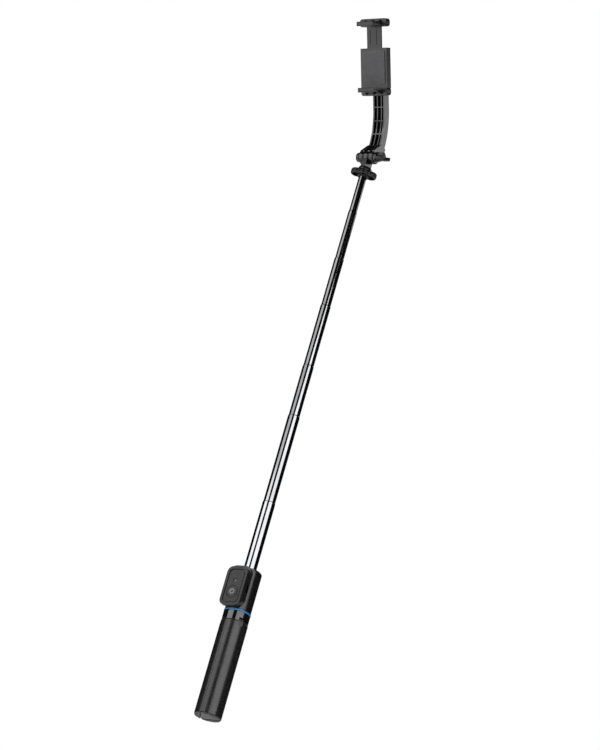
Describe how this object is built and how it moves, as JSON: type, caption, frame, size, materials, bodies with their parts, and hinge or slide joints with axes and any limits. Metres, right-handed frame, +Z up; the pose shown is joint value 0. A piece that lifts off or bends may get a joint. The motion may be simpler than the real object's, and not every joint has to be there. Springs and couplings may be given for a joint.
{
  "type": "selfie stick",
  "caption": "Hand-held telescopic selfie stick with folding tripod legs, detachable remote, pan and tilt head, curved arm and sprung phone clamp.",
  "frame": {"origin": "centre of the hand grip on the pole's axis, 52 mm above the soles of the closed legs", "axes": "+Z up the pole, -Y towards the face of the remote, +X towards the tilt knob"},
  "size_m": [0.0404, 0.0956, 0.8048],
  "materials": {
    "satin_plastic": "fine moulded satin",
    "gloss_plastic": "polished black",
    "accent_plastic": "satin blue",
    "button_plastic": "fine matt",
    "lens": "smoked clear",
    "board": "solder mask",
    "steel": "zinc plated",
    "pole_metal": "polished dark plating",
    "nylon": "moulded",
    "foot_rubber": "matt",
    "pad_rubber": "matt"
  },
  "bodies": {
    "handle": {"leg_hub": "gloss_plastic", "accent_ring": "accent_plastic", "core_tube": "steel", "core_plug": "satin_plastic", "upper_housing": "satin_plastic", "housing_collar": "gloss_plastic", "remote_cradle": "satin_plastic", "cradle_screw_lower": "steel", "cradle_screw_upper": "steel", "leg_pin_right": "steel", "leg_pin_rear": "steel", "leg_pin_left": "steel"},
    "leg_right": {"leg_right": "satin_plastic", "foot_right": "foot_rubber"},
    "leg_rear": {"leg_rear": "satin_plastic", "foot_rear": "foot_rubber"},
    "leg_left": {"leg_left": "satin_plastic", "foot_left": "foot_rubber"},
    "section_7": {"tube_7": "pole_metal", "tube_bush_7": "nylon"},
    "section_6": {"tube_6": "pole_metal", "tube_bush_6": "nylon"},
    "section_5": {"tube_5": "pole_metal", "tube_bush_5": "nylon"},
    "section_4": {"tube_4": "pole_metal", "tube_bush_4": "nylon"},
    "section_3": {"tube_3": "pole_metal", "tube_bush_3": "nylon"},
    "section_2": {"tube_2": "pole_metal", "tube_bush_2": "nylon"},
    "section_1": {"tube_1": "pole_metal", "tube_bush_1": "nylon", "pole_ferrule": "steel"},
    "pan_nut": {"pan_nut": "satin_plastic"},
    "swivel": {"swivel_head": "gloss_plastic"},
    "arm": {"curved_arm": "gloss_plastic", "tilt_bolt": "steel", "tilt_cap_nut": "gloss_plastic", "tilt_washer_knob": "steel", "tilt_washer_cap": "steel"},
    "tilt_knob": {"tilt_knob": "satin_plastic"},
    "clamp": {"clamp_base": "satin_plastic", "clamp_cover": "satin_plastic", "jaw_pad_lower": "pad_rubber", "back_pad": "pad_rubber", "clamp_spring_left": "steel", "clamp_spring_right": "steel", "pivot_screw": "steel", "pivot_nut": "steel", "pivot_washer": "nylon", "cover_screw_left": "steel", "cover_screw_right": "steel"},
    "jaw": {"clamp_jaw": "satin_plastic", "jaw_pad_upper": "pad_rubber"},
    "remote": {"remote_front": "satin_plastic", "remote_back": "satin_plastic", "indicator_lens": "lens", "circuit_board": "board", "coin_cell": "steel"},
    "button": {"shutter_button": "button_plastic"}
  },
  "joints": [
    {"name": "leg_right_fold", "type": "hinge", "parent": "handle", "child": "leg_right", "pos_m": [0.01056, -0.0061, 0.0532], "axis": [-0.5, -0.866, 0], "range_deg": [0, 68]},
    {"name": "leg_rear_fold", "type": "hinge", "parent": "handle", "child": "leg_rear", "pos_m": [0, 0.0122, 0.0532], "axis": [1, 0, 0], "range_deg": [0, 68]},
    {"name": "leg_left_fold", "type": "hinge", "parent": "handle", "child": "leg_left", "pos_m": [-0.01056, -0.0061, 0.0532], "axis": [-0.5, 0.866, 0], "range_deg": [0, 68]},
    {"name": "section_7_slide", "type": "slide", "parent": "handle", "child": "section_7", "axis": [0, 0, 1], "range_m": [-0.076, 0.023]},
    {"name": "section_6_slide", "type": "slide", "parent": "section_7", "child": "section_6", "axis": [0, 0, 1], "range_m": [-0.099, 0]},
    {"name": "section_5_slide", "type": "slide", "parent": "section_6", "child": "section_5", "axis": [0, 0, 1], "range_m": [-0.058, 0.041]},
    {"name": "section_4_slide", "type": "slide", "parent": "section_5", "child": "section_4", "axis": [0, 0, 1], "range_m": [-0.071, 0.028]},
    {"name": "section_3_slide", "type": "slide", "parent": "section_4", "child": "section_3", "axis": [0, 0, 1], "range_m": [-0.056, 0.043]},
    {"name": "section_2_slide", "type": "slide", "parent": "section_3", "child": "section_2", "axis": [0, 0, 1], "range_m": [-0.057, 0.042]},
    {"name": "section_1_slide", "type": "slide", "parent": "section_2", "child": "section_1", "axis": [0, 0, 1], "range_m": [-0.042, 0.057]},
    {"name": "pan_nut_turn", "type": "hinge", "parent": "section_1", "child": "pan_nut", "pos_m": [0, 0, 0.589], "axis": [0, 0, 1], "continuous": true},
    {"name": "pan", "type": "hinge", "parent": "section_1", "child": "swivel", "pos_m": [0, 0, 0.6], "axis": [0, 0, 1], "continuous": true},
    {"name": "tilt", "type": "hinge", "parent": "swivel", "child": "arm", "pos_m": [0, 0, 0.6104], "axis": [1, 0, 0], "range_deg": [-60, 80]},
    {"name": "tilt_knob_turn", "type": "hinge", "parent": "arm", "child": "tilt_knob", "pos_m": [0.0165, 0, 0.6104], "axis": [1, 0, 0], "continuous": true},
    {"name": "clamp_roll", "type": "hinge", "parent": "arm", "child": "clamp", "pos_m": [0, -0.03738, 0.71699], "axis": [0, -0.8508, -0.5255], "continuous": true},
    {"name": "jaw_slide", "type": "slide", "parent": "clamp", "child": "jaw", "axis": [0, -0.5255, 0.8508], "range_m": [-0.014, 0.018], "deforming": ["clamp_spring_left", "clamp_spring_right"]},
    {"name": "remote_pull_off", "type": "slide", "parent": "handle", "child": "remote", "axis": [0, -1, 0], "range_m": [0, 0.03]},
    {"name": "shutter_press", "type": "slide", "parent": "remote", "child": "button", "axis": [0, 1, 0], "range_m": [0, 0.0005], "stiffness_N_per_m": 800, "springref_m": -0.0005}
  ]
}
